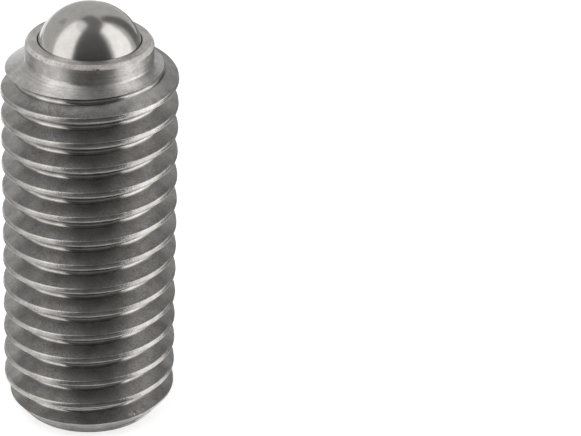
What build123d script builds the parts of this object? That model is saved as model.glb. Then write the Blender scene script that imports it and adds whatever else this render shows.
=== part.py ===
from build123d import *

import os
from math import ceil, cos, pi, radians, sin, sqrt, tan

# Spring plunger: a threaded sleeve that stands on its socket end, with a
# spring-loaded ball held by the rolled rim at its upper end.
# The axis is Z, and the sleeve's flat end face lies at z = 0.
# Lengths are in millimetres and angles in degrees.

# Sleeve
sleeve_length = 23.0
end_face_width = 0.77
end_chamfer_height = 1.3
neck_wall = 0.51
neck_length = 1.12
neck_root_radius = 0.15
shoulder_angle = 30.0
shoulder_edge_radius = 0.6
rim_chamfer_width = 0.165
rim_chamfer_height = 0.22

# Thread
thread_major_diameter = 9.86
thread_pitch = 1.5
thread_angle = 60.0
thread_crest_width = 0.27
thread_root_width = 0.25
first_crest_height = 1.29

# Ball and its bore
ball_diameter = 5.95
ball_projection = 2.05
ball_clearance = 0.05
web_thickness = 1.5

# Spring
wire_diameter = 0.8
spring_coils = 7.0
closed_coils = 1.0
ground_depth = 0.2
spring_side_clearance = 0.25
spring_end_clearance = 0.05

# Hexagon socket
socket_across_flats = 5.0
socket_depth = 4.5
socket_mouth_margin = 0.24
socket_mouth_angle = 90.0
drill_point_angle = 118.0

SOCKET_SIDES = 6
# How far the thread's cutting profile stands out of the sleeve
CUTTER_MARGIN = 0.15
# Points along one turn of the spring's wire
POINTS_PER_COIL = 12

# Heights and radii that follow from the sizes above
thread_radius = thread_major_diameter / 2
thread_depth = (thread_pitch - thread_crest_width - thread_root_width) / 2 / tan(radians(thread_angle / 2))
ball_radius = ball_diameter / 2
ball_height = sleeve_length + ball_projection - ball_radius
bore_radius = ball_radius + ball_clearance
neck_radius = bore_radius + neck_wall
neck_height = sleeve_length - neck_length
wire_radius = wire_diameter / 2
coil_radius = bore_radius - spring_side_clearance - wire_radius
pilot_radius = socket_across_flats / 2
drill_point_height = pilot_radius / tan(radians(drill_point_angle / 2))
bore_floor_height = socket_depth + drill_point_height + web_thickness
socket_mouth_radius = pilot_radius / cos(pi / SOCKET_SIDES) + socket_mouth_margin
end_face_radius = socket_mouth_radius + end_face_width


def turned_blank():
    """The sleeve before it is drilled and threaded: end chamfer, shoulder cone, neck and rim."""
    shoulder_drop = (thread_radius - neck_radius) * tan(radians(shoulder_angle))
    shoulder_edge = (thread_radius, neck_height - shoulder_drop)
    neck_root = (neck_radius, neck_height)
    with BuildPart() as blank:
        with BuildSketch(Plane.XZ) as profile:
            with BuildLine():
                Polyline(
                    (0, 0),
                    (end_face_radius, 0),
                    (thread_radius, end_chamfer_height),
                    shoulder_edge,
                    neck_root,
                    (neck_radius, sleeve_length - rim_chamfer_height),
                    (neck_radius - rim_chamfer_width, sleeve_length),
                    (0, sleeve_length),
                    close=True,
                )
            make_face()
            corners = profile.vertices()
            fillet(corners.sort_by_distance((*shoulder_edge, 0))[0], shoulder_edge_radius)
            fillet(corners.sort_by_distance((*neck_root, 0))[0], neck_root_radius)
        revolve(axis=Axis.Z)
    return blank.part


def ball_bore():
    """Blind bore from its floor up to the rim, which closes over the ball like a dome."""
    with BuildPart() as bore:
        with Locations((0, 0, bore_floor_height)):
            Cylinder(
                bore_radius,
                ball_height - bore_floor_height,
                align=(Align.CENTER, Align.CENTER, Align.MIN),
            )
        with Locations((0, 0, ball_height)):
            Sphere(bore_radius)
    return bore.part


def hexagon_socket():
    """Hexagon socket with a countersunk mouth and the drill point at its bottom."""
    mouth_depth = socket_mouth_radius / tan(radians(socket_mouth_angle / 2))
    with BuildPart() as socket:
        with BuildSketch():
            RegularPolygon(pilot_radius, SOCKET_SIDES, major_radius=False)
        extrude(amount=socket_depth)
        with BuildSketch(Plane.XZ):
            Polygon((0, 0), (socket_mouth_radius, 0), (0, mouth_depth), align=None)
        revolve(axis=Axis.Z)
        with BuildSketch(Plane.XZ):
            Polygon(
                (0, 0),
                (pilot_radius, 0),
                (pilot_radius, socket_depth),
                (0, socket_depth + drill_point_height),
                align=None,
            )
        revolve(axis=Axis.Z)
    return socket.part


def thread_grooves():
    """One turn of the right-hand thread's groove for each pitch, from below the end face to the neck."""
    start_height = first_crest_height - 1.5 * thread_pitch
    root_radius = thread_radius - thread_depth
    outer_radius = thread_radius + CUTTER_MARGIN
    root_half_width = thread_root_width / 2
    outer_half_width = root_half_width + (outer_radius - root_radius) * tan(radians(thread_angle / 2))
    with BuildPart() as groove:
        with BuildLine():
            Helix(thread_pitch, thread_pitch, root_radius, center=(0, 0, start_height))
        with BuildSketch(Plane.XZ):
            Polygon(
                (root_radius, start_height - root_half_width),
                (outer_radius, start_height - outer_half_width),
                (outer_radius, start_height + outer_half_width),
                (root_radius, start_height + root_half_width),
                align=None,
            )
        sweep(is_frenet=True)
    turns = ceil((neck_height - start_height) / thread_pitch)
    return [Pos(0, 0, turn * thread_pitch) * groove.part for turn in range(turns)]


def threaded_sleeve():
    """The sleeve in one piece: turned, bored, broached and threaded."""
    return turned_blank() - ball_bore() - hexagon_socket() - thread_grooves()


def spring():
    """Compression spring with closed and ground ends, standing on the bore's floor under the ball."""
    ground_half_width = sqrt(wire_radius**2 - (wire_radius - ground_depth) ** 2)
    contact_radius = coil_radius - ground_half_width
    contact_drop = sqrt(ball_radius**2 - contact_radius**2)
    bottom = bore_floor_height + spring_end_clearance
    top = ball_height - contact_drop - spring_end_clearance
    first_centre = bottom + wire_radius - ground_depth
    last_centre = top - wire_radius + ground_depth
    closed_rise = closed_coils * wire_diameter
    active_coils = spring_coils - 2 * closed_coils
    active_pitch = (last_centre - first_centre - 2 * closed_rise) / active_coils

    def wire_centre(coil):
        lower = min(coil, closed_coils)
        upper = max(coil - closed_coils - active_coils, 0)
        active = coil - lower - upper
        height = first_centre + (lower + upper) * wire_diameter + active * active_pitch
        angle = radians(360 * coil)
        return Vector(coil_radius * cos(angle), coil_radius * sin(angle), height)

    steps = ceil(spring_coils * POINTS_PER_COIL)
    with BuildPart() as coil_spring:
        with BuildLine() as centre_line:
            Spline(*[wire_centre(spring_coils * step / steps) for step in range(steps + 1)])
        with BuildSketch(centre_line.line ^ 0):
            Circle(wire_radius)
        sweep(is_frenet=True)
        with Locations((0, 0, bottom)):
            Cylinder(
                bore_radius,
                top - bottom,
                align=(Align.CENTER, Align.CENTER, Align.MIN),
                mode=Mode.INTERSECT,
            )
    return coil_spring.part


def ball():
    """The ball at rest, just under the rim."""
    return Pos(0, 0, ball_height) * Sphere(ball_radius)


def main():
    os.makedirs("parts", exist_ok=True)
    for make_piece in (threaded_sleeve, spring, ball):
        export_step(make_piece(), f"parts/{make_piece.__name__}.step")


if __name__ == "__main__":
    main()
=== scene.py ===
from math import asin, ceil, cos, pi, radians, sin, tan

import bmesh
import bpy
from bpy.props import FloatProperty, FloatVectorProperty, IntProperty, PointerProperty
from mathutils import Matrix, Quaternion, Vector
from mathutils.noise import noise as noise_at


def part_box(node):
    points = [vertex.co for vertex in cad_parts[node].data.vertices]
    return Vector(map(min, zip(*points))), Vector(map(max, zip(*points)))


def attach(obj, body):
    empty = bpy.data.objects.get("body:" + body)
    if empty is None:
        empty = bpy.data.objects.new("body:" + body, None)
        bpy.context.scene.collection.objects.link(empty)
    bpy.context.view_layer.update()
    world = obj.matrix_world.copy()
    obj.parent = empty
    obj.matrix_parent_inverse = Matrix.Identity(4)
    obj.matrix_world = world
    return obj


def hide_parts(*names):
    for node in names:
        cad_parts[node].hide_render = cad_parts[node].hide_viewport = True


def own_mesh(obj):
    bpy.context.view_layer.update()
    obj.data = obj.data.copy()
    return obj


bl_info = {
    "name": "Spring plunger",
    "version": (1, 0, 0),
    "blender": (4, 5, 0),
    "location": "View3D > Sidebar > Plunger",
    "description": "Threaded steel sleeve, spring and ball of a spring plunger, with a small studio",
    "category": "Add Mesh",
}

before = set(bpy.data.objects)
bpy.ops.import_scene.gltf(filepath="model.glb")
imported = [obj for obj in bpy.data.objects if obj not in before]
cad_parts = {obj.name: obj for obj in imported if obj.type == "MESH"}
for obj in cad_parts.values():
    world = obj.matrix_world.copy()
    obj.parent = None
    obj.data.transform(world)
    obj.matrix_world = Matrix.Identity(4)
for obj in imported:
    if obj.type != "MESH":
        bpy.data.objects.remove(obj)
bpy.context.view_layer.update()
BALL_LOW, BALL_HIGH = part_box("ball")
SPRING_LOW, SPRING_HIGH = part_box("spring")
SLEEVE_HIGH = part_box("threaded_sleeve")[1]

MM = 0.001
ORIGIN = (0.0, 0.0, 0.0)
UP = (0.0, 0.0, 1.0)

# Steps of a full turn of the sleeve, of a coil, of a rounded corner, of the dome over the ball and of a card
TURN_STEPS = 160
COIL_STEPS = 80
ROUNDING_STEPS = 3
DOME_STEPS = 4
CARD_STEPS = 24
# Sides of the spring's wire, of the hexagon socket, of the floor and of the ceiling
WIRE_SIDES = 16
SOCKET_SIDES = 6
FLOOR_SIDES = 96
CEILING_SIDES = 48
# Points nearer to each other than this become one
MERGE_DISTANCE = 0.0005 * MM
# How far a cutting solid stands clear of the surface it must pass
CLEAR = 0.004 * MM
# Place of the lip's steel among the materials of the turned blank
LIP_SLOT = 1
# Faces that meet at a greater angle than this have a sharp edge between them
SLEEVE_CREASE = radians(32.0)
SPRING_CREASE = radians(40.0)

# Dents that handling left: azimuth in degrees, then distance from the axis, height and half width in
# millimetres
NICKS = (
    (7.0, 3.53, 22.76, 0.12),
    (3.5, 3.52, 22.8, 0.07),
    (-55.0, 3.5, 22.86, 0.08),
    (-47.0, 3.53, 22.79, 0.06),
    (33.5, 4.78, 1.28, 0.13),
    (29.5, 4.66, 1.33, 0.06),
    (12.0, 4.93, 3.88, 0.07),
    (26.0, 4.93, 3.95, 0.08),
    (-38.0, 4.93, 8.17, 0.08),
    (17.0, 4.93, 12.9, 0.08),
    (-50.0, 4.75, 20.75, 0.12),
    (145.0, 4.93, 7.42, 0.1),
    (-130.0, 4.93, 12.28, 0.09),
    (170.0, 3.53, 22.79, 0.09),
    (-105.0, 4.2, 21.25, 0.09),
)
# Height of a dent beside its width
DENT_FLATNESS = 0.6

# Chips along the thread's crest: their number, their usual half width in millimetres, and the azimuth
# at which the crest stands at the height of the first crest
CHIP_COUNT = 110
CHIP_SIZE = 0.05
FIRST_CREST_AZIMUTH = 90.0
# Irrational steps that spread the chips' places and sizes evenly
GOLDEN_STEP = 0.618034
PLASTIC_STEP = 0.754878
# How often the torn edges of the crest wander up and down in a millimetre
TEARS_PER_MM = 4.0

# Patterns in the sleeve's steel, in spots or lines per millimetre
CLOUDS_PER_MM = 1.1
GRAIN_PER_MM = 13.0
GALLING_PER_MM = 17.0
LONG_LINES_PER_MM = 9.0
STREAKS_PER_MM = 16.0
# How often the turning lines break off; 0 would let them run all the way round
LONG_LINE_BREAKS = 0.03
STREAK_BREAKS = 0.16
# Share of the finer one where two patterns are blended
FINE_SHARE = 0.4
# Patterns on the ball and on the wire, in spots per millimetre
BALL_WEAR_PER_MM = 2.0
BALL_WAVES_PER_MM = 1.0
SCUFFS_PER_MM = 4.0
SMUDGE_EDGE_PER_MM = 6.0
WIRE_WEAR_PER_MM = 3.0
WIRE_GRAIN_PER_MM = 14.0

# Where parts of the thread's steel begin to show and where they show in full: distances in millimetres
# from the radius of the crest or the root, or from the height of the shoulder
CREST_BLEND = (-0.1, -0.06)
FLANK_BLEND = (0.04, 0.14)
# The root's lower corner, where shade is painted
CORNER_INNER_BLEND = (0.01, 0.04)
CORNER_OUTER_BLEND = (0.13, 0.08)
LAST_TURN_BLEND = (-0.6, -0.05)
LAST_TURN_UNEVENNESS = 0.12
# The same by how far the surface faces up, from -1 to 1
UPPER_SIDE_BLEND = (-0.3, 0.3)
CORNER_SIDE_BLEND = (0.15, 0.4)
# The crest's underside, which is rough and carries a painted highlight
CREST_UNDERSIDE_BLEND = (0.02, -0.16)
CONE_BLEND = (0.1, 0.6)

# Roughness in the hollows and on the peaks of the flanks' grain, and on the last turn, beside the flanks' own
FLANK_GRAIN_ROUGHNESS = (1.35, 0.6)
LAST_TURN_ROUGHNESS = 0.85
# Painted light in the groove: how far the flanks' shade moves at the root, where it is lighter, and at the
# crest, where it is darker
FLANK_SHADE_CHANGE = (0.06, -0.03)
# The satin flanks' painted sheen: the slants between which it changes, from 0 straight on to 1 edge on, and
# how bright it makes their steel below and above those slants
SATIN_SLANTS = (0.36, 0.46)
SATIN_SHEEN = (0.8, 1.42)
# Brightness in the hollows and on the peaks of the turning lines
LINE_SHADES = (0.8, 1.15)

# How far the roughness of a finish varies
TURNED_VARIATION = 0.05
LIP_VARIATION = 0.1
BALL_VARIATION = 0.05
WIRE_VARIATION = 0.1
# How bright worn steel is beside clean steel
WORN_BALL = 0.91
WORN_WIRE = 0.85
# The ball's scuffs: how many times finer they are along each axis, how their noise is turned, and which
# part of it makes the ball rougher
SCUFF_STRETCH = (1.0, 1.0, 9.0)
SCUFF_TURN = (0.5, 0.3, 0.0)
SCUFF_RANGE = (0.35, 0.7)
# Lays the smear of a reflection across the turning lines
QUARTER_TURN = 0.25

# The faint smudge on the ball: its middle, its edge and how far that edge wanders, in millimetres
SMUDGE = (-1.45, -1.02, 24.47)
SMUDGE_BLEND = (0.1, 0.3)
SMUDGE_UNEVENNESS = 0.5

# Colours of the floor's paper and of its specks, and specks per metre
PAPER_DARK = (0.88, 0.88, 0.88)
PAPER_LIGHT = (0.9, 0.9, 0.9)
PAPER_SPECKS = 300.0
# How far the floor lies below the end face, and how far the mats lie above that face
FLOOR_DROP = 0.01 * MM
MAT_LIFT = 0.02 * MM
# Nearest and farthest that the camera sees, in metres
CAMERA_RANGE = (0.001, 5.0)

# Softboxes: azimuth in degrees, then distance and height in metres, of the foot and the head; and the width
LEFT_SOFTBOX = ((-59.5, 0.16, 0.002), (-126.0, 0.062, 0.355), 0.12)
RIGHT_SOFTBOX = ((77.0, 0.16, 0.002), (91.0, 0.15, 0.355), 0.142)
# Azimuths that the mats and cards fill, and elevations up to which the cards rise, in degrees
ALL_ROUND = (-180.0, 180.0)
FRONT = (-38.0, 48.0)
LEFT = (-100.0, -38.0)
LEFT_BACK = (-145.0, -100.0)
RIGHT_BACK = (96.0, 176.0)
RIGHT_CARD = (118.0, 142.0)
FRONT_CARD_TOP = 72.0
RIGHT_CARD_TOP = 66.0


def length(name, description, default):
    """A length that the user may change, in metres."""
    return FloatProperty(
        name=name,
        description=description,
        default=default,
        min=0.0,
        precision=6,
        unit="LENGTH",
    )


def angle(name, description, default):
    """An angle that the user may change, given here in degrees."""
    return FloatProperty(name=name, description=description, default=radians(default), subtype="ANGLE")


def share(name, description, default):
    """A number from 0 to 1."""
    return FloatProperty(
        name=name,
        description=description,
        default=default,
        min=0.0,
        max=1.0,
        subtype="FACTOR",
    )


def brightness(name, description, default):
    """How bright a surface shows, where 1 is white in the studio and plain steel on the plunger."""
    return FloatProperty(name=name, description=description, default=default, min=0.0)


def place(name, description, default):
    """A point of the scene, in metres."""
    return FloatVectorProperty(
        name=name,
        description=description,
        default=default,
        subtype="TRANSLATION",
        unit="LENGTH",
    )


def colour(name, description, default):
    """A linear colour."""
    return FloatVectorProperty(
        name=name,
        description=description,
        default=default,
        min=0.0,
        max=1.0,
        subtype="COLOR",
    )


class SleeveSizes(bpy.types.PropertyGroup):
    """Sizes of the threaded sleeve"""

    height: length("Height", "From the end face to the rim", SLEEVE_HIGH.z)
    thread_radius: length("Thread radius", "Radius of the thread's crest", SLEEVE_HIGH.x)
    thread_pitch: length("Thread pitch", "Rise of the thread in one turn", 1.5 * MM)
    thread_depth: length("Thread depth", "From the crest to the root", 0.849 * MM)
    crest_width: length("Crest width", "Width of the thread's flat crest", 0.27 * MM)
    crest_rounding: length("Crest rounding", "How far the crest's upper edge is rounded", 0.05 * MM)
    crest_wear: length("Crest wear", "How far the crest's lower edge is rounded", 0.075 * MM)
    crest_slant: length("Crest slant", "How much nearer to the axis the crest's upper edge is", 0.04 * MM)
    crest_raggedness: length("Crest raggedness", "How far the die tore the crest up and down", 0.012 * MM)
    root_width: length("Root width", "Width of the thread's flat root", 0.25 * MM)
    root_rounding: length("Root rounding", "How far the root's rounded corners reach", 0.1 * MM)
    first_crest: length("First crest", "Height of the lowest whole crest on the +X side", 1.29 * MM)
    end_face_radius: length("End face radius", "Outer radius of the flat lower end", 3.897 * MM)
    end_chamfer: length("End chamfer", "Height of the chamfer at the socket end", 1.3 * MM)
    neck_radius: length("Neck radius", "Radius of the neck that holds the ball", 3.535 * MM)
    neck_length: length("Neck length", "From the shoulder to the rim", 1.12 * MM)
    neck_root_radius: length("Neck root radius", "Fillet between the shoulder and the neck", 0.15 * MM)
    shoulder_angle: angle("Shoulder angle", "Slope of the shoulder cone", 30.0)
    shoulder_radius: length("Shoulder radius", "Rounding of the shoulder's outer edge", 0.6 * MM)
    rim_chamfer_width: length("Rim chamfer width", "How far the lip's chamfer reaches inwards", 0.165 * MM)
    rim_chamfer_height: length("Rim chamfer height", "How far the lip's chamfer reaches down", 0.22 * MM)
    bore_radius: length("Bore radius", "Radius of the bore and of the dome over the ball", 3.025 * MM)
    bore_floor: length("Bore floor", "Height of the bore's floor", 7.502 * MM)
    socket_across_flats: length("Socket across flats", "Width of the hexagon socket", 5.0 * MM)
    socket_depth: length("Socket depth", "Depth of the hexagon socket", 4.5 * MM)
    socket_mouth_radius: length("Socket mouth radius", "Radius of the countersunk mouth", 3.127 * MM)
    drill_point: angle("Drill point", "Point angle of the hole under the socket", 118.0)
    edge_wear: length("Edge wear", "How far the turned edges are worn round", 0.03 * MM)


class SpringSizes(bpy.types.PropertyGroup):
    """Sizes of the spring under the ball"""

    wire_radius: length("Wire radius", "Radius of the spring's wire", 0.4 * MM)
    coil_radius: length("Coil radius", "From the axis to the middle of the wire", 2.375 * MM)
    ground_depth: length("Ground depth", "How far the end coils are ground flat", 0.2 * MM)
    active_coils: IntProperty(
        name="Active coils",
        description="Open coils between the closed ends",
        default=5,
        min=1,
    )


class BallSizes(bpy.types.PropertyGroup):
    """Size of the ball"""

    radius: length("Radius", "Radius of the ball", (BALL_HIGH.z - BALL_LOW.z) / 2)
    rings: IntProperty(name="Rings", description="Rings of faces from pole to pole", default=96, min=8)


class SteelFinish(bpy.types.PropertyGroup):
    """Colours, gloss and grain of the steels"""

    sleeve_light: colour("Sleeve, light", "Clean parts of the sleeve's stainless steel", (0.71, 0.691, 0.671))
    sleeve_dark: colour("Sleeve, dark", "Duller parts of the sleeve's stainless steel", (0.47, 0.45, 0.43))
    crest_roughness: share("Crest roughness", "Roughness of the thread's galled crest", 0.15)
    galling_depth: length("Galling depth", "Depth of the grain that the die left on the crest", 0.013 * MM)
    # The crest's underside is rougher than the crest and painted brighter than it: a painted highlight along
    # the crest's lower edge
    crest_underside_roughness: share("Burr roughness", "Roughness of the fine burr under the thread's crest", 0.85)
    crest_underside_highlight: brightness("Burr shade", "How bright the fine burr is beside the crest", 1.35)
    flank_roughness: share("Flank roughness", "Roughness of the thread's satin flanks", 0.52)
    flank_shade: share("Flank shade", "How bright the thread's dull flanks are beside its crest", 0.54)
    flank_grain_depth: length("Flank grain depth", "Depth of the fine grain on the thread", 0.0045 * MM)
    # Painted light: flanks that face down are brighter than those that face up
    underside_painted_light: share("Underside shade", "How bright flanks that face down are beside the crest", 0.8)
    last_turn_shade: share("Last turn shade", "How bright the thread is just under the shoulder", 0.75)
    root_roughness: share("Root roughness", "Roughness of the burnished thread root", 0.14)
    root_shade: brightness("Root shade", "How bright the burnished root is beside the crest", 0.98)
    # Painted shade: the root's lower corner, where it meets a flank that faces up, is darker
    corner_painted_shade: share("Corner shade", "How bright the root's lower corner is beside the flank", 0.5)
    turned_roughness: share("Turned roughness", "Roughness of the shoulder cone across its lines", 0.32)
    side_roughness: share("Side roughness", "How much rougher the neck and the end are than the cone", 0.15)
    # Painted light: turned faces that face up are brighter than those that face sideways or down
    side_shade: brightness("Side shade", "How bright the neck and the end are beside plain steel", 1.02)
    cone_shade: brightness("Cone shade", "How bright the shoulder cone is beside plain steel", 1.12)
    turned_anisotropy: share("Turned anisotropy", "How much the turning lines smear a reflection", 0.75)
    line_depth: length("Line depth", "Depth of the turning lines", 0.016 * MM)
    turned_grain_depth: length("Turned grain depth", "Depth of the fine grain on turned faces", 0.001 * MM)
    lip_roughness: share("Lip roughness", "Roughness of the lip that is rolled over the ball", 0.65)
    lip_shade: brightness("Lip shade", "How bright the rolled lip is beside plain steel", 1.38)
    lip_grain_depth: length("Lip grain depth", "Depth of the fine pecks on the rolled lip", 0.006 * MM)
    ball_colour: colour("Ball", "Polished ball steel", (0.635, 0.615, 0.592))
    ball_roughness: share("Ball roughness", "Roughness of the polished ball", 0.17)
    ball_waviness: length("Ball waviness", "Depth of the slow waves in the ball's polish", 0.008 * MM)
    scuff_depth: length("Scuff depth", "Depth of the fine scuffs on the ball", 0.0006 * MM)
    smudge_shade: share("Smudge shade", "How bright the smudge is beside the clean ball", 0.72)
    spring_colour: colour("Spring", "Drawn spring wire", (0.5, 0.49, 0.475))
    spring_roughness: share("Spring roughness", "Roughness of the drawn wire", 0.3)
    wire_grain_depth: length("Wire grain depth", "Depth of the grain on the drawn wire", 0.002 * MM)


class StudioSettings(bpy.types.PropertyGroup):
    """Camera, softboxes, cards and mats of the studio"""

    camera_place: place("Camera place", "Where the camera stands", (-0.0003285, -0.1302102, 0.0825941))
    camera_target: place("Camera target", "What the camera is aimed at", (0.011396, 0.0, 0.011889))
    camera_roll: angle("Camera roll", "Turn of the camera about its line of sight", 2.4496)
    camera_lens: FloatProperty(
        name="Lens",
        description="Focal length of the camera",
        default=161.93,
        unit="CAMERA",
    )
    room: brightness("Room", "Brightness of the room round the studio", 0.54)
    left_softbox: brightness("Left softbox", "Brightness of the left softbox", 0.71)
    right_softbox: brightness("Right softbox", "Brightness of the right softbox", 0.84)
    floor_lift: brightness("Floor lift", "How far the floor shows brighter than the light on it", 0.55)
    floor_radius: length("Floor radius", "Radius of the floor", 0.6)
    # The cards, mats and ceiling below glow at these brightnesses rather than being lit: painted reflections
    front_card: brightness("Front card", "How bright the foot of the black card in front reflects", 0.036)
    front_card_head: brightness("Front card, head", "How bright the head of that card reflects", 0.1296)
    right_card: brightness("Right card", "How bright the dark card behind at the right reflects", 0.15)
    card_distance: length("Card distance", "How far from the object the cards stand", 0.3)
    front_mat: brightness("Front mat", "How bright the dark mat in front of the object reflects", 0.155)
    left_mat: brightness("Left mat", "How bright the grey mat at the left reflects", 0.75)
    back_mat: brightness("Back mat", "How bright the grey mat behind at the left reflects", 0.4)
    right_back_mat: brightness("Right back mat", "How bright the dark mat behind at the right reflects", 0.25)
    mat_gap: length("Mat gap", "How near to the axis the mats begin", 7.0 * MM)
    # Painted shadow: a dark ring under the object that only reflections show
    contact_shadow_mat: brightness("Contact mat", "How bright the dark ring under the object reflects", 0.3)
    contact_inner: length("Contact mat, inner", "Inner radius of the dark ring under the object", 3.92 * MM)
    contact_outer: length("Contact mat, outer", "Outer radius of the dark ring under the object", 4.9 * MM)
    ceiling: brightness("Ceiling", "How bright the dark ceiling reflects", 0.185)
    ceiling_height: length("Ceiling height", "Height of the dark ceiling", 0.42)
    ceiling_radius: length("Ceiling radius", "Radius of the dark ceiling", 0.17)


# Meshes


def around(azimuth, distance, height):
    """A point round the object: azimuth 0 is in front of it and 90 at its right."""
    turn = radians(azimuth)
    return Vector((distance * sin(turn), -distance * cos(turn), height))


def add_object(name, bm):
    """An object made of the bmesh, which is freed."""
    mesh = bpy.data.meshes.new(name)
    bm.to_mesh(mesh)
    bm.free()
    piece = bpy.data.objects.new(name, mesh)
    bpy.context.scene.collection.objects.link(piece)
    return piece


def only(kind, items):
    """The items of one kind."""
    return [item for item in items if isinstance(item, kind)]


def spin(bm, geom, turn, steps, axis=UP, **settings):
    """Spins the geometry about an axis through the origin, and returns its last copy."""
    spun = bmesh.ops.spin(bm, geom=geom, cent=ORIGIN, axis=axis, angle=turn, steps=steps, **settings)
    return spun["geom_last"]


def draw_profile(bm, corners):
    """A chain of edges in the XZ plane through corners given as (radius, height, reach of the rounding)."""
    verts = [bm.verts.new((radius, 0.0, height)) for radius, height, _ in corners]
    for start, end in zip(verts, verts[1:]):
        bm.edges.new((start, end))
    for vert, (_, _, reach) in zip(verts, corners):
        if reach:
            bmesh.ops.bevel(
                bm,
                geom=[vert],
                offset=reach,
                offset_type="OFFSET",
                segments=ROUNDING_STEPS,
                profile=0.5,
                affect="VERTICES",
                material=-1,
            )


def turn_solid(bm):
    """Spins the profile, which begins and ends on the axis, into a closed solid."""
    spin(bm, bm.verts[:] + bm.edges[:], 2 * pi, TURN_STEPS, use_merge=True)
    bmesh.ops.remove_doubles(bm, verts=bm.verts[:], dist=MERGE_DISTANCE)
    bmesh.ops.recalc_face_normals(bm, faces=bm.faces[:])


def shade_smooth(piece, crease):
    """Smooth shading, with sharp edges where faces meet at more than the crease angle."""
    piece.data.shade_smooth()
    piece.data.set_sharp_from_angle(angle=crease)


def dress(piece, *materials):
    """Gives the piece its materials."""
    for material in materials:
        piece.data.materials.append(material)


def apply_boolean(piece, other, operation):
    """Cuts or keeps what the other solid covers, and removes that solid."""
    modifier = piece.modifiers.new(operation.title(), "BOOLEAN")
    modifier.operation = operation
    modifier.solver = "MANIFOLD"
    modifier.material_mode = "TRANSFER"
    modifier.object = other
    depsgraph = bpy.context.evaluated_depsgraph_get()
    result = bpy.data.meshes.new_from_object(piece.evaluated_get(depsgraph))
    piece.modifiers.clear()
    piece.data = result
    bpy.data.objects.remove(other)


def finish_piece(piece, body, node):
    """Gives the piece its body and hides the solid from model.glb that it stands for."""
    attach(piece, body)
    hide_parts(node)


def draw_thread(bm, sizes, start):
    """One pitch of the thread's profile, with the middle of its crest at the start height."""
    crest, root = sizes.thread_radius, sizes.thread_radius - sizes.thread_depth
    crest_half, root_half = sizes.crest_width / 2, sizes.root_width / 2
    low, high = start - sizes.thread_pitch / 2, start + sizes.thread_pitch / 2
    corners = [
        (root, low, 0.0),
        (root, low + root_half, sizes.root_rounding),
        (crest, start - crest_half, sizes.crest_wear),
        (crest - sizes.crest_slant, start + crest_half, sizes.crest_rounding),
        (root, high - root_half, sizes.root_rounding),
        (root, high, 0.0),
    ]
    draw_profile(bm, corners)


def tear_crest(bm, sizes):
    """Makes the crest as ragged as the die left it."""
    crest = sizes.thread_radius
    for vert in bm.verts:
        if vert.co.xy.length > crest - sizes.crest_slant - sizes.crest_rounding:
            ragged = noise_at(vert.co / MM * TEARS_PER_MM) * sizes.crest_raggedness
            vert.co.z += ragged
            vert.co.xy *= 1.0 - abs(ragged) / crest


def point_ends(bm, low_tip, high_tip, middle):
    """Closes both open ends of the rod with a point on the axis."""
    open_edges = [edge for edge in bm.edges if edge.is_boundary]
    for upper, tip in ((False, low_tip), (True, high_tip)):
        ring = [edge for edge in open_edges if (edge.verts[0].co.z > middle) == upper]
        drawn = bmesh.ops.extrude_edge_only(bm, edges=ring)["geom"]
        bmesh.ops.pointmerge(bm, verts=only(bmesh.types.BMVert, drawn), merge_co=(0.0, 0.0, tip))


def thread_rod(sizes):
    """A rod longer than the sleeve, with the right-hand thread all along it."""
    bm = bmesh.new()
    pitch = sizes.thread_pitch
    start = sizes.first_crest - 2 * pitch
    draw_thread(bm, sizes, start)
    spin(bm, bm.verts[:] + bm.edges[:], 2 * pi, TURN_STEPS, dvec=(0.0, 0.0, pitch / TURN_STEPS))
    one_turn = bm.verts[:] + bm.edges[:] + bm.faces[:]
    for turn in range(1, ceil((sizes.height - start) / pitch) + 1):
        copied = bmesh.ops.duplicate(bm, geom=one_turn)["geom"]
        bmesh.ops.translate(bm, verts=only(bmesh.types.BMVert, copied), vec=(0.0, 0.0, turn * pitch))
    bmesh.ops.remove_doubles(bm, verts=bm.verts[:], dist=MERGE_DISTANCE)
    tear_crest(bm, sizes)
    point_ends(bm, start - 2 * pitch, sizes.height + 2 * pitch, sizes.height / 2)
    bmesh.ops.recalc_face_normals(bm, faces=bm.faces[:])
    return add_object("threaded_body", bm)


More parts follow.
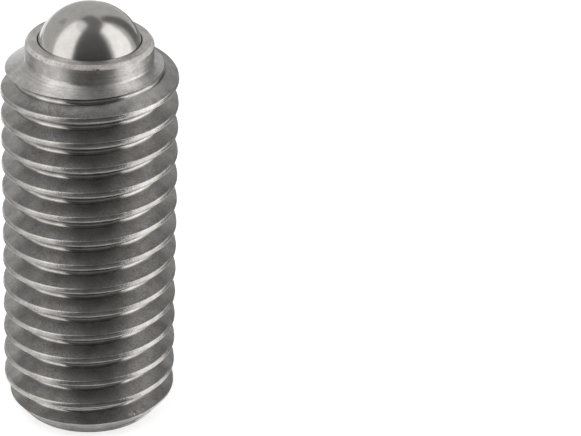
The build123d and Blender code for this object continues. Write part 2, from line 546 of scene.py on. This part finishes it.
def turned_blank(sizes, ball_centre):
    """The sleeve's turned and bored form, a little wider than the thread's crest."""
    slope = tan(sizes.shoulder_angle)
    outer = sizes.thread_radius + CLEAR
    neck_height = sizes.height - sizes.neck_length
    shoulder_height = neck_height - (outer - sizes.neck_radius) * slope
    chamfer_slope = sizes.end_chamfer / (sizes.thread_radius - sizes.end_face_radius)
    pilot = sizes.socket_across_flats / 2 - CLEAR
    drill_tip = sizes.socket_depth + pilot / tan(sizes.drill_point / 2)
    corner_reach = tan((pi / 2 - sizes.shoulder_angle) / 2)
    bore = sizes.bore_radius
    opening = asin((sizes.height - ball_centre) / bore)
    rises = [opening * (step / DOME_STEPS) for step in range(DOME_STEPS, -1, -1)]
    dome = [(bore * cos(rise), ball_centre + bore * sin(rise), 0.0) for rise in rises]
    corners = [
        (0.0, drill_tip, 0.0),
        (pilot, sizes.socket_depth, 0.0),
        (pilot, sizes.socket_mouth_radius - pilot, 0.0),
        (sizes.socket_mouth_radius, 0.0, sizes.edge_wear),
        (sizes.end_face_radius, 0.0, sizes.edge_wear),
        (outer, (outer - sizes.end_face_radius) * chamfer_slope, 0.0),
        (outer, shoulder_height, sizes.shoulder_radius * corner_reach),
        (sizes.neck_radius, neck_height, sizes.neck_root_radius * corner_reach),
        (sizes.neck_radius, sizes.height - sizes.rim_chamfer_height, sizes.edge_wear),
        (sizes.neck_radius - sizes.rim_chamfer_width, sizes.height, sizes.edge_wear),
        *dome,
        (bore, sizes.bore_floor, 0.0),
        (0.0, sizes.bore_floor, 0.0),
    ]
    bm = bmesh.new()
    draw_profile(bm, corners)
    turn_solid(bm)
    lip_height = sizes.height - sizes.rim_chamfer_height - sizes.edge_wear
    lip_radius = sizes.neck_radius - sizes.rim_chamfer_width
    for face in bm.faces:
        middle = face.calc_center_median()
        if middle.z > lip_height and middle.xy.length > lip_radius:
            face.material_index = LIP_SLOT
    return add_object("turned_blank", bm)


def crest_chips(sizes):
    """Tiny chips spread along both edges of the thread's crest, given in the same way as the nicks."""
    turns = (sizes.height - sizes.neck_length - sizes.end_chamfer) / sizes.thread_pitch - 1.0
    for index in range(CHIP_COUNT):
        turn = 1.0 + turns * (index * GOLDEN_STEP % 1.0)
        edge = sizes.crest_width / 2 if index % 2 else -sizes.crest_width / 2
        height = sizes.first_crest + turn * sizes.thread_pitch + edge
        size = CHIP_SIZE * (0.5 + index * PLASTIC_STEP % 1.0)
        yield FIRST_CREST_AZIMUTH + 360.0 * turn, sizes.thread_radius / MM, height / MM, size


def nick_cutter(nicks):
    """Small round-bottomed dents, each given by its azimuth, distance, height and half width."""
    bm = bmesh.new()
    for azimuth, radius, height, size in nicks:
        centre = Matrix.Translation(around(azimuth, radius * MM, height * MM))
        scale = Matrix.Diagonal((size * MM, size * MM, DENT_FLATNESS * size * MM, 1.0))
        bmesh.ops.create_icosphere(bm, subdivisions=2, radius=1.0, matrix=centre @ scale)
    return add_object("nick_cutter", bm)


def hexagon_punch(sizes):
    """The hexagon that is broached into the lower end."""
    bm = bmesh.new()
    corner_radius = sizes.socket_across_flats / 2 / cos(pi / SOCKET_SIDES)
    bmesh.ops.create_circle(bm, cap_ends=True, segments=SOCKET_SIDES, radius=corner_radius)
    bmesh.ops.translate(bm, verts=bm.verts[:], vec=(0.0, 0.0, -sizes.socket_depth))
    drawn = bmesh.ops.extrude_face_region(bm, geom=bm.faces[:])["geom"]
    top = only(bmesh.types.BMVert, drawn)
    bmesh.ops.translate(bm, verts=top, vec=(0.0, 0.0, 2 * sizes.socket_depth))
    bmesh.ops.recalc_face_normals(bm, faces=bm.faces[:])
    return add_object("hexagon_punch", bm)


def coil_spring(sizes, low, high):
    """Spring with closed and ground ends between two heights."""
    bm = bmesh.new()
    wire = 2 * sizes.wire_radius
    first = low + sizes.wire_radius - sizes.ground_depth
    last = high - sizes.wire_radius + sizes.ground_depth
    active_pitch = (last - first - 2 * wire) / sizes.active_coils
    stand = Matrix.Translation((sizes.coil_radius, 0.0, first)) @ Matrix.Rotation(pi / 2, 4, "X")
    bmesh.ops.create_circle(bm, segments=WIRE_SIDES, radius=sizes.wire_radius, matrix=stand)
    end = bm.verts[:] + bm.edges[:]
    for coils, pitch in ((1, wire), (sizes.active_coils, active_pitch), (1, wire)):
        steps = coils * COIL_STEPS
        end = spin(bm, end, 2 * pi * coils, steps, dvec=(0.0, 0.0, coils * pitch / steps))
    bmesh.ops.holes_fill(bm, edges=bm.edges[:])
    for height, direction in ((low, -1.0), (high, 1.0)):
        cut = bmesh.ops.bisect_plane(
            bm,
            geom=bm.verts[:] + bm.edges[:] + bm.faces[:],
            plane_co=(0.0, 0.0, height),
            plane_no=(0.0, 0.0, direction),
            clear_outer=True,
        )["geom_cut"]
        bmesh.ops.edgenet_fill(bm, edges=only(bmesh.types.BMEdge, cut))
    bmesh.ops.recalc_face_normals(bm, faces=bm.faces[:])
    return add_object("coil_spring", bm)


# Finishes


def add_node(tree, kind, inputs=None, **settings):
    """A shader node; each input is a value or another node's socket."""
    node = tree.nodes.new(kind)
    for name, value in settings.items():
        setattr(node, name, value)
    for key, value in (inputs or {}).items():
        if isinstance(value, bpy.types.NodeSocket):
            tree.links.new(value, node.inputs[key])
        else:
            node.inputs[key].default_value = value
    return node


def new_material(name):
    """A new material, its node tree and the output, which is all that the tree holds."""
    material = bpy.data.materials.new(name)
    material.use_nodes = True
    tree = material.node_tree
    tree.nodes.clear()
    return material, tree, tree.nodes.new("ShaderNodeOutputMaterial")


def finish_metal(tree, output, inputs):
    """Ends a material with a metal surface."""
    shader = add_node(tree, "ShaderNodeBsdfPrincipled", {"Metallic": 1.0, **inputs})
    tree.links.new(shader.outputs["BSDF"], output.inputs["Surface"])


def object_point(tree):
    """The place on the piece, in metres."""
    return add_node(tree, "ShaderNodeTexCoord").outputs["Object"]


def millimetres(tree):
    """The place on the piece, in millimetres."""
    inputs = {"Vector": object_point(tree), "Scale": (1 / MM, 1 / MM, 1 / MM)}
    return add_node(tree, "ShaderNodeMapping", inputs).outputs["Vector"]


def vector_math(tree, operation, inputs):
    """A node that joins or changes vectors."""
    return add_node(tree, "ShaderNodeVectorMath", inputs, operation=operation)


def scaled(tree, vector, factor):
    """The vector or colour times a factor."""
    return vector_math(tree, "SCALE", {0: vector, "Scale": factor}).outputs["Vector"]


def added(tree, first, second):
    """The sum of two vectors."""
    return vector_math(tree, "ADD", {0: first, 1: second}).outputs["Vector"]


def flattened(tree, vector):
    """The part of the vector that points away from the axis."""
    return vector_math(tree, "MULTIPLY", {0: vector, 1: (1.0, 1.0, 0.0)}).outputs["Vector"]


def along_axis(tree, vector):
    """The part of the vector that points along the axis."""
    return add_node(tree, "ShaderNodeSeparateXYZ", {"Vector": vector}).outputs["Z"]


def axis_radius(tree, point):
    """Distance from the plunger's axis, in millimetres."""
    return vector_math(tree, "LENGTH", {0: flattened(tree, point)}).outputs["Value"]


def facing_upward(tree):
    """How far the surface faces up, from -1 to 1."""
    return along_axis(tree, add_node(tree, "ShaderNodeTexCoord").outputs["Normal"])


def math_node(tree, operation, first, second):
    """Two values joined by one operation."""
    return add_node(tree, "ShaderNodeMath", {0: first, 1: second}, operation=operation).outputs["Value"]


def between(tree, factor, first, second):
    """A value between two values."""
    return add_node(tree, "ShaderNodeMix", {"Factor": factor, "A": first, "B": second}).outputs["Result"]


def blend_colours(tree, factor, first, second):
    """A colour between two colours."""
    node = add_node(tree, "ShaderNodeMix", {"Factor": factor}, data_type="RGBA")
    node.inputs["A"].default_value = (*first, 1.0)
    node.inputs["B"].default_value = (*second, 1.0)
    return node.outputs["Result"]


def remap(tree, value, source, target):
    """The value moved from one range to another, and held inside it."""
    limits = {"From Min": source[0], "From Max": source[1], "To Min": target[0], "To Max": target[1]}
    return add_node(tree, "ShaderNodeMapRange", {"Value": value, **limits}).outputs["Result"]


def ramp(tree, value, blend, level=0.0):
    """0 at the blend's first distance from the level, and 1 at its second."""
    return remap(tree, value, (level + blend[0], level + blend[1]), (0.0, 1.0))


def stretch(tree, pattern, target, reach):
    """The middle of a noise, as far as the reach to each side of 0.5, spread over a range."""
    return remap(tree, pattern, (0.5 - reach, 0.5 + reach), target)


def noise(tree, vector, per_mm, detail, roughness=0.5):
    """A noise pattern of so many spots per millimetre."""
    inputs = {"Vector": vector, "Scale": per_mm, "Detail": detail, "Roughness": roughness}
    return add_node(tree, "ShaderNodeTexNoise", inputs).outputs["Fac"]


def bump(tree, height, distance, below=None):
    """A relief of the given depth, laid over another one."""
    inputs = {"Height": height, "Distance": distance}
    if below:
        inputs["Normal"] = below
    return add_node(tree, "ShaderNodeBump", inputs).outputs["Normal"]


def steel_patterns(tree, point):
    """The stainless steel's mottled tone, from 0 to 1, and its fine grain."""
    cloud = noise(tree, point, CLOUDS_PER_MM, detail=3.0, roughness=0.6)
    grain = noise(tree, point, GRAIN_PER_MM, detail=3.0, roughness=0.65)
    tone = stretch(tree, between(tree, FINE_SHARE, cloud, grain), (0.0, 1.0), reach=0.12)
    return tone, grain


def turning_lines(tree, point, per_mm, breaks):
    """Lines that run round the axis; the higher the breaks, the shorter each line."""
    outward = flattened(tree, scaled(tree, point, breaks))
    risen = add_node(tree, "ShaderNodeCombineXYZ", {"Z": along_axis(tree, point)}).outputs["Vector"]
    inputs = {
        "Vector": added(tree, outward, risen),
        "W": axis_radius(tree, point),
        "Scale": per_mm,
        "Detail": 3.0,
        "Roughness": 0.65,
    }
    return add_node(tree, "ShaderNodeTexNoise", inputs, noise_dimensions="4D").outputs["Fac"]


def thread_zones(tree, point, tone, sizes):
    """How much each part of the thread shows at a point, from 0 to 1."""
    crest = sizes.thread_radius / MM
    root = crest - sizes.thread_depth / MM
    shoulder_drop = (sizes.thread_radius - sizes.neck_radius) * tan(sizes.shoulder_angle)
    shoulder = (sizes.height - sizes.neck_length - shoulder_drop) / MM
    radius = axis_radius(tree, point)
    upward = facing_upward(tree)
    wander = remap(tree, tone, (0.0, 1.0), (-LAST_TURN_UNEVENNESS, LAST_TURN_UNEVENNESS))
    uneven_height = math_node(tree, "ADD", along_axis(tree, point), wander)

    on_crest = ramp(tree, radius, CREST_BLEND, crest)
    # The root's lower corner, which carries painted shade
    corner = math_node(
        tree,
        "MULTIPLY",
        ramp(tree, radius, CORNER_INNER_BLEND, root),
        ramp(tree, radius, CORNER_OUTER_BLEND, root),
    )
    return {
        "depth": remap(tree, radius, (root, crest), (0.0, 1.0)),
        "flank": ramp(tree, radius, FLANK_BLEND, root),
        "upper_side": ramp(tree, upward, UPPER_SIDE_BLEND),
        "corner": math_node(tree, "MULTIPLY", corner, ramp(tree, upward, CORNER_SIDE_BLEND)),
        "crest": on_crest,
        "crest_underside": math_node(tree, "MULTIPLY", on_crest, ramp(tree, upward, CREST_UNDERSIDE_BLEND)),
        "last_turn": ramp(tree, uneven_height, LAST_TURN_BLEND, shoulder),
    }


def thread_roughness(tree, grain, zones, finish):
    """Roughness of the thread: satin flanks, a burnished root, a smooth crest and a rough underside to the
    crest.
    """
    grain_roughness = [factor * finish.flank_roughness for factor in FLANK_GRAIN_ROUGHNESS]
    last_turn_roughness = LAST_TURN_ROUGHNESS * finish.flank_roughness
    roughness = stretch(tree, grain, grain_roughness, reach=0.1)
    roughness = between(tree, zones["last_turn"], roughness, last_turn_roughness)
    roughness = between(tree, zones["flank"], finish.root_roughness, roughness)
    roughness = between(tree, zones["crest"], roughness, finish.crest_roughness)
    return between(tree, zones["crest_underside"], roughness, finish.crest_underside_roughness)


def thread_shade(tree, zones, finish):
    """How bright each part of the thread is beside its crest."""
    # Painted light: the flanks are lighter deep in the groove, towards the root
    at_root, at_crest = [finish.flank_shade + change for change in FLANK_SHADE_CHANGE]
    shade = between(tree, zones["depth"], at_root, at_crest)
    # Painted light: flanks that face down are brighter
    shade = between(tree, zones["upper_side"], finish.underside_painted_light, shade)
    # Painted sheen: the flanks' colour is darker seen straight on and brighter seen aslant
    slant = add_node(tree, "ShaderNodeLayerWeight", {"Blend": 0.5}).outputs["Facing"]
    shade = math_node(tree, "MULTIPLY", shade, remap(tree, slant, SATIN_SLANTS, SATIN_SHEEN))
    shade = between(tree, zones["last_turn"], shade, finish.last_turn_shade)
    shade = between(tree, zones["flank"], finish.root_shade, shade)
    # Painted shade in the root's lower corner
    shade = math_node(tree, "MULTIPLY", shade, between(tree, zones["corner"], 1.0, finish.corner_painted_shade))
    shade = between(tree, zones["crest"], shade, 1.0)
    # Painted highlight: the crest's underside is brighter than the crest itself
    return between(tree, zones["crest_underside"], shade, finish.crest_underside_highlight)


def threaded_steel(finish, sizes):
    """Steel of the thread, with a fine grain all over and galling on the crest."""
    material, tree, output = new_material("threaded_steel")
    point = millimetres(tree)
    tone, grain = steel_patterns(tree, point)
    zones = thread_zones(tree, point, tone, sizes)
    base = blend_colours(tree, tone, finish.sleeve_dark, finish.sleeve_light)
    galling = noise(tree, point, GALLING_PER_MM, detail=2.0, roughness=0.6)
    galling = math_node(tree, "MULTIPLY", galling, zones["crest"])
    relief = bump(tree, grain, finish.flank_grain_depth)
    inputs = {
        "Base Color": scaled(tree, base, thread_shade(tree, zones, finish)),
        "Roughness": thread_roughness(tree, grain, zones, finish),
        "Normal": bump(tree, galling, finish.galling_depth, relief),
    }
    finish_metal(tree, output, inputs)
    return material


def turned_steel(finish):
    """Steel of the turned faces, with fine lines that run round the axis."""
    material, tree, output = new_material("turned_steel")
    point = millimetres(tree)
    tone, grain = steel_patterns(tree, point)
    lines = turning_lines(tree, point, LONG_LINES_PER_MM, LONG_LINE_BREAKS)
    streaks = turning_lines(tree, point, STREAKS_PER_MM, STREAK_BREAKS)
    lines = between(tree, FINE_SHARE, lines, streaks)
    on_cone = ramp(tree, facing_upward(tree), CONE_BLEND)

    smooth, rough = finish.turned_roughness - TURNED_VARIATION, finish.turned_roughness + TURNED_VARIATION
    roughness = stretch(tree, lines, (smooth, rough), reach=0.2)
    roughness = math_node(tree, "ADD", roughness, between(tree, on_cone, finish.side_roughness, 0.0))
    shade = stretch(tree, lines, LINE_SHADES, reach=0.15)
    # Painted light: faces that face up are brighter
    shade = math_node(tree, "MULTIPLY", shade, between(tree, on_cone, finish.side_shade, finish.cone_shade))
    base = blend_colours(tree, tone, finish.sleeve_dark, finish.sleeve_light)
    inputs = {
        "Base Color": scaled(tree, base, shade),
        "Roughness": roughness,
        "Anisotropic": finish.turned_anisotropy,
        "Anisotropic Rotation": QUARTER_TURN,
        "Normal": bump(tree, lines, finish.line_depth, bump(tree, grain, finish.turned_grain_depth)),
        "Tangent": add_node(tree, "ShaderNodeTangent", direction_type="RADIAL", axis="Z").outputs["Tangent"],
    }
    finish_metal(tree, output, inputs)
    return material


def rolled_lip_steel(finish):
    """Bright, finely pecked steel of the lip that was rolled over the ball."""
    material, tree, output = new_material("rolled_lip_steel")
    tone, grain = steel_patterns(tree, millimetres(tree))
    base = blend_colours(tree, tone, finish.sleeve_dark, finish.sleeve_light)
    rough, smooth = finish.lip_roughness + LIP_VARIATION, finish.lip_roughness - LIP_VARIATION
    inputs = {
        "Base Color": scaled(tree, base, finish.lip_shade),
        "Roughness": stretch(tree, grain, (rough, smooth), reach=0.1),
        "Normal": bump(tree, grain, finish.lip_grain_depth),
    }
    finish_metal(tree, output, inputs)
    return material


def off_smudge(tree, point):
    """0 on the ball's smudge and 1 off it, with an uneven edge."""
    inputs = {"Vector": point, "Scale": SMUDGE_EDGE_PER_MM, "Detail": 3.0}
    uneven = add_node(tree, "ShaderNodeTexNoise", inputs).outputs["Color"]
    moved = added(tree, point, scaled(tree, uneven, SMUDGE_UNEVENNESS))
    mean_move = Vector((0.5, 0.5, 0.5)) * SMUDGE_UNEVENNESS
    distance = vector_math(tree, "DISTANCE", {0: moved, 1: Vector(SMUDGE) + mean_move}).outputs["Value"]
    return ramp(tree, distance, SMUDGE_BLEND)


def polished_steel(finish):
    """Mirror finish of the ball, with faint wear, fine scuffs and a smudge."""
    material, tree, output = new_material("polished_ball_steel")
    point = millimetres(tree)
    wear = noise(tree, point, BALL_WEAR_PER_MM, detail=4.0, roughness=0.6)
    drawn_out = {"Vector": point, "Scale": SCUFF_STRETCH, "Rotation": SCUFF_TURN}
    drawn_out = add_node(tree, "ShaderNodeMapping", drawn_out).outputs["Vector"]
    scuffs = noise(tree, drawn_out, SCUFFS_PER_MM, detail=3.0, roughness=0.7)
    waves = noise(tree, point, BALL_WAVES_PER_MM, detail=1.0)

    worn = [WORN_BALL * channel for channel in finish.ball_colour]
    base = blend_colours(tree, stretch(tree, wear, (0.0, 1.0), reach=0.15), worn, finish.ball_colour)
    clean = between(tree, off_smudge(tree, point), finish.smudge_shade, 1.0)
    smooth, rough = finish.ball_roughness, finish.ball_roughness + BALL_VARIATION
    inputs = {
        "Base Color": scaled(tree, base, clean),
        "Roughness": remap(tree, scuffs, SCUFF_RANGE, (smooth, rough)),
        "Normal": bump(tree, scuffs, finish.scuff_depth, bump(tree, waves, finish.ball_waviness)),
    }
    finish_metal(tree, output, inputs)
    return material


def drawn_wire(finish):
    """Spring wire, slightly mottled and finely grained."""
    material, tree, output = new_material("drawn_spring_wire")
    point = millimetres(tree)
    wear = noise(tree, point, WIRE_WEAR_PER_MM, detail=3.0)
    grain = noise(tree, point, WIRE_GRAIN_PER_MM, detail=3.0, roughness=0.6)
    worn = [WORN_WIRE * channel for channel in finish.spring_colour]
    smooth, rough = finish.spring_roughness, finish.spring_roughness + WIRE_VARIATION
    inputs = {
        "Base Color": blend_colours(tree, wear, worn, finish.spring_colour),
        "Roughness": stretch(tree, wear, (smooth, rough), reach=0.2),
        "Normal": bump(tree, grain, finish.wire_grain_depth),
    }
    finish_metal(tree, output, inputs)
    return material


def white_floor(lift):
    """Matt white floor that keeps its shadows and shows as white as a lit sweep."""
    material, tree, output = new_material("white_floor")
    inputs = {"Vector": object_point(tree), "Scale": PAPER_SPECKS, "Detail": 2.0}
    speck = add_node(tree, "ShaderNodeTexNoise", inputs).outputs["Fac"]
    paper = blend_colours(tree, speck, PAPER_DARK, PAPER_LIGHT)
    matt = add_node(tree, "ShaderNodeBsdfDiffuse", {"Color": paper})
    rays = add_node(tree, "ShaderNodeLightPath").outputs
    seen = math_node(tree, "MAXIMUM", rays["Is Camera Ray"], rays["Is Glossy Ray"])
    seen = math_node(tree, "MAXIMUM", seen, rays["Is Transmission Ray"])
    glow = add_node(tree, "ShaderNodeEmission", {"Strength": math_node(tree, "MULTIPLY", seen, lift)})
    shader = add_node(tree, "ShaderNodeAddShader", {0: matt.outputs["BSDF"], 1: glow.outputs["Emission"]})
    tree.links.new(shader.outputs["Shader"], output.inputs["Surface"])
    return material


def card_glow(name, foot, head, height):
    """Glow of a studio card, from one brightness at its foot to another at its head: a painted reflection,
    since the card glows instead of being lit.
    """
    material, tree, output = new_material(name)
    rise = along_axis(tree, object_point(tree))
    strength = remap(tree, rise, (0.0, height or 1.0), (foot, head))
    glow = add_node(tree, "ShaderNodeEmission", {"Strength": strength})
    tree.links.new(glow.outputs["Emission"], output.inputs["Surface"])
    return material


# Studio


def add_camera(studio):
    """The camera at the photograph's place and angle."""
    camera = bpy.data.objects.new("camera", bpy.data.cameras.new("camera"))
    direction = Vector(studio.camera_target) - Vector(studio.camera_place)
    camera.rotation_mode = "QUATERNION"
    camera.rotation_quaternion = direction.to_track_quat("-Z", "Y") @ Quaternion(UP, studio.camera_roll)
    camera.location = studio.camera_place
    camera.data.lens = studio.camera_lens
    camera.data.clip_start, camera.data.clip_end = CAMERA_RANGE
    bpy.context.scene.collection.objects.link(camera)
    bpy.context.scene.camera = camera


def add_softbox(name, foot, head, width, strength):
    """A tall softbox that leans over the object, between two points given as azimuth, distance and height."""
    low, high = around(*foot), around(*head)
    upward = (high - low).normalized()
    middle = (low + high) / 2
    sideways = upward.cross(middle).normalized()
    lamp = bpy.data.lights.new(name, "AREA")
    lamp.shape = "RECTANGLE"
    lamp.size, lamp.size_y = width, (high - low).length
    lamp.energy = strength * pi * lamp.size * lamp.size_y
    softbox = bpy.data.objects.new(name, lamp)
    turn = Matrix((sideways, upward, sideways.cross(upward))).transposed()
    softbox.matrix_world = Matrix.Translation(middle) @ turn.to_4x4()
    softbox.visible_camera = False
    bpy.context.scene.collection.objects.link(softbox)


def add_flag(name, bm, foot_value, head_value):
    """A glowing card or mat, a painted reflection, that the camera doesn't see and that only reflections
    show.
    """
    flag = add_object(name, bm)
    dress(flag, card_glow(name, foot_value, head_value, flag.dimensions.z))
    flag.visible_camera = False
    flag.visible_diffuse = False
    flag.visible_shadow = False
    flag.visible_transmission = False


def sweep_sector(bm, azimuths):
    """Sweeps what lies in front of the axis round it, from one azimuth to another."""
    start, end = (radians(azimuth) for azimuth in azimuths)
    bmesh.ops.rotate(bm, verts=bm.verts[:], cent=ORIGIN, matrix=Matrix.Rotation(start, 3, "Z"))
    spin(bm, bm.verts[:] + bm.edges[:], end - start, CARD_STEPS)


def add_mat(name, value, azimuths, near, far):
    """A mat that lies on the floor, between two distances and two azimuths."""
    bm = bmesh.new()
    bm.edges.new([bm.verts.new((0.0, -distance, MAT_LIFT)) for distance in (near, far)])
    sweep_sector(bm, azimuths)
    add_flag(name, bm, value, value)


def add_card(name, foot_value, head_value, azimuths, distance, top):
    """A card that rises from the floor and bends over the object, up to an elevation."""
    bm = bmesh.new()
    foot = bm.verts.new((0.0, -distance, 0.0))
    spin(bm, [foot], radians(top), CARD_STEPS, axis=(-1.0, 0.0, 0.0))
    sweep_sector(bm, azimuths)
    add_flag(name, bm, foot_value, head_value)


def add_ceiling(name, value, height, radius):
    """A round card over the softboxes."""
    bm = bmesh.new()
    lifted = Matrix.Translation((0.0, 0.0, height))
    bmesh.ops.create_circle(bm, cap_ends=True, segments=CEILING_SIDES, radius=radius, matrix=lifted)
    add_flag(name, bm, value, value)


def add_floor(studio):
    """The white floor, just under the end face."""
    bm = bmesh.new()
    radius, lowered = studio.floor_radius, Matrix.Translation((0.0, 0.0, -FLOOR_DROP))
    bmesh.ops.create_circle(bm, cap_ends=True, segments=FLOOR_SIDES, radius=radius, matrix=lowered)
    floor = add_object("floor", bm)
    dress(floor, white_floor(studio.floor_lift))


def light_room(strength):
    """The even light of the room round the studio."""
    world = bpy.data.worlds.new("room")
    world.use_nodes = True
    background = world.node_tree.nodes["Background"]
    background.inputs["Color"].default_value = (1.0, 1.0, 1.0, 1.0)
    background.inputs["Strength"].default_value = strength
    bpy.context.scene.world = world


# Operators


class PLUNGER_OT_add_stage(bpy.types.Operator):
    """Add the floor, the light, the cards, the mats and the camera"""

    bl_idname = "plunger.add_stage"
    bl_label = "Add Stage"

    def execute(self, context):
        studio = context.scene.plunger_studio
        context.scene.view_settings.view_transform = "Standard"
        add_floor(studio)
        light_room(studio.room)
        add_softbox("left_softbox", *LEFT_SOFTBOX, studio.left_softbox)
        add_softbox("right_softbox", *RIGHT_SOFTBOX, studio.right_softbox)
        gap, distance = studio.mat_gap, studio.card_distance
        add_card("front_card", studio.front_card, studio.front_card_head, FRONT, distance, FRONT_CARD_TOP)
        add_card("right_card", studio.right_card, studio.right_card, RIGHT_CARD, distance, RIGHT_CARD_TOP)
        # Painted contact shadow that only reflections show
        add_mat("contact_shadow_mat", studio.contact_shadow_mat, ALL_ROUND, studio.contact_inner, studio.contact_outer)
        add_mat("front_mat", studio.front_mat, FRONT, gap, distance)
        add_mat("left_mat", studio.left_mat, LEFT, gap, distance)
        add_mat("back_mat", studio.back_mat, LEFT_BACK, gap, distance)
        add_mat("right_back_mat", studio.right_back_mat, RIGHT_BACK, gap, distance)
        add_ceiling("ceiling", studio.ceiling, studio.ceiling_height, studio.ceiling_radius)
        add_camera(studio)
        return {"FINISHED"}


class PLUNGER_OT_add_sleeve(bpy.types.Operator):
    """Add the threaded sleeve"""

    bl_idname = "plunger.add_sleeve"
    bl_label = "Add Sleeve"

    def execute(self, context):
        sizes = context.scene.plunger_sleeve
        finish = context.scene.plunger_finish
        threaded, turned, lip = threaded_steel(finish, sizes), turned_steel(finish), rolled_lip_steel(finish)
        sleeve = thread_rod(sizes)
        dress(sleeve, threaded)
        blank = turned_blank(sizes, (BALL_LOW.z + BALL_HIGH.z) / 2)
        dress(blank, turned, lip)
        apply_boolean(sleeve, blank, "INTERSECT")
        for cutter, material in (
            (hexagon_punch(sizes), turned),
            (nick_cutter(NICKS), turned),
            (nick_cutter(crest_chips(sizes)), threaded),
        ):
            dress(cutter, material)
            apply_boolean(sleeve, cutter, "DIFFERENCE")
        shade_smooth(sleeve, SLEEVE_CREASE)
        finish_piece(sleeve, "sleeve", "threaded_sleeve")
        return {"FINISHED"}


class PLUNGER_OT_add_spring(bpy.types.Operator):
    """Add the spring under the ball"""

    bl_idname = "plunger.add_spring"
    bl_label = "Add Spring"

    def execute(self, context):
        spring = coil_spring(context.scene.plunger_spring, SPRING_LOW.z, SPRING_HIGH.z)
        shade_smooth(spring, SPRING_CREASE)
        dress(spring, drawn_wire(context.scene.plunger_finish))
        finish_piece(spring, "spring_end", "spring")
        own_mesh(spring)
        return {"FINISHED"}


class PLUNGER_OT_add_ball(bpy.types.Operator):
    """Add the polished ball"""

    bl_idname = "plunger.add_ball"
    bl_label = "Add Ball"

    def execute(self, context):
        sizes = context.scene.plunger_ball
        bm = bmesh.new()
        bmesh.ops.create_uvsphere(
            bm,
            u_segments=2 * sizes.rings,
            v_segments=sizes.rings,
            radius=sizes.radius,
            matrix=Matrix.Translation((BALL_LOW + BALL_HIGH) / 2),
        )
        ball = add_object("polished_ball", bm)
        ball.data.shade_smooth()
        dress(ball, polished_steel(context.scene.plunger_finish))
        finish_piece(ball, "ball", "ball")
        return {"FINISHED"}


class PLUNGER_PT_panel(bpy.types.Panel):
    """Lists the pieces of the plunger and the stage"""

    bl_idname = "PLUNGER_PT_panel"
    bl_label = "Spring Plunger"
    bl_space_type = "VIEW_3D"
    bl_region_type = "UI"
    bl_category = "Plunger"

    def draw(self, context):
        for operator in OPERATORS:
            self.layout.operator(operator.bl_idname)


GROUPS = {
    "plunger_sleeve": SleeveSizes,
    "plunger_spring": SpringSizes,
    "plunger_ball": BallSizes,
    "plunger_finish": SteelFinish,
    "plunger_studio": StudioSettings,
}
OPERATORS = (PLUNGER_OT_add_stage, PLUNGER_OT_add_sleeve, PLUNGER_OT_add_spring, PLUNGER_OT_add_ball)
CLASSES = (*GROUPS.values(), *OPERATORS, PLUNGER_PT_panel)


def register():
    for cls in CLASSES:
        bpy.utils.register_class(cls)
    for name, group in GROUPS.items():
        setattr(bpy.types.Scene, name, PointerProperty(type=group))


def unregister():
    for name in GROUPS:
        delattr(bpy.types.Scene, name)
    for cls in reversed(CLASSES):
        bpy.utils.unregister_class(cls)


def main():
    register()
    bpy.ops.plunger.add_stage()
    bpy.ops.plunger.add_sleeve()
    bpy.ops.plunger.add_spring()
    bpy.ops.plunger.add_ball()


if __name__ == "__main__":
    main()
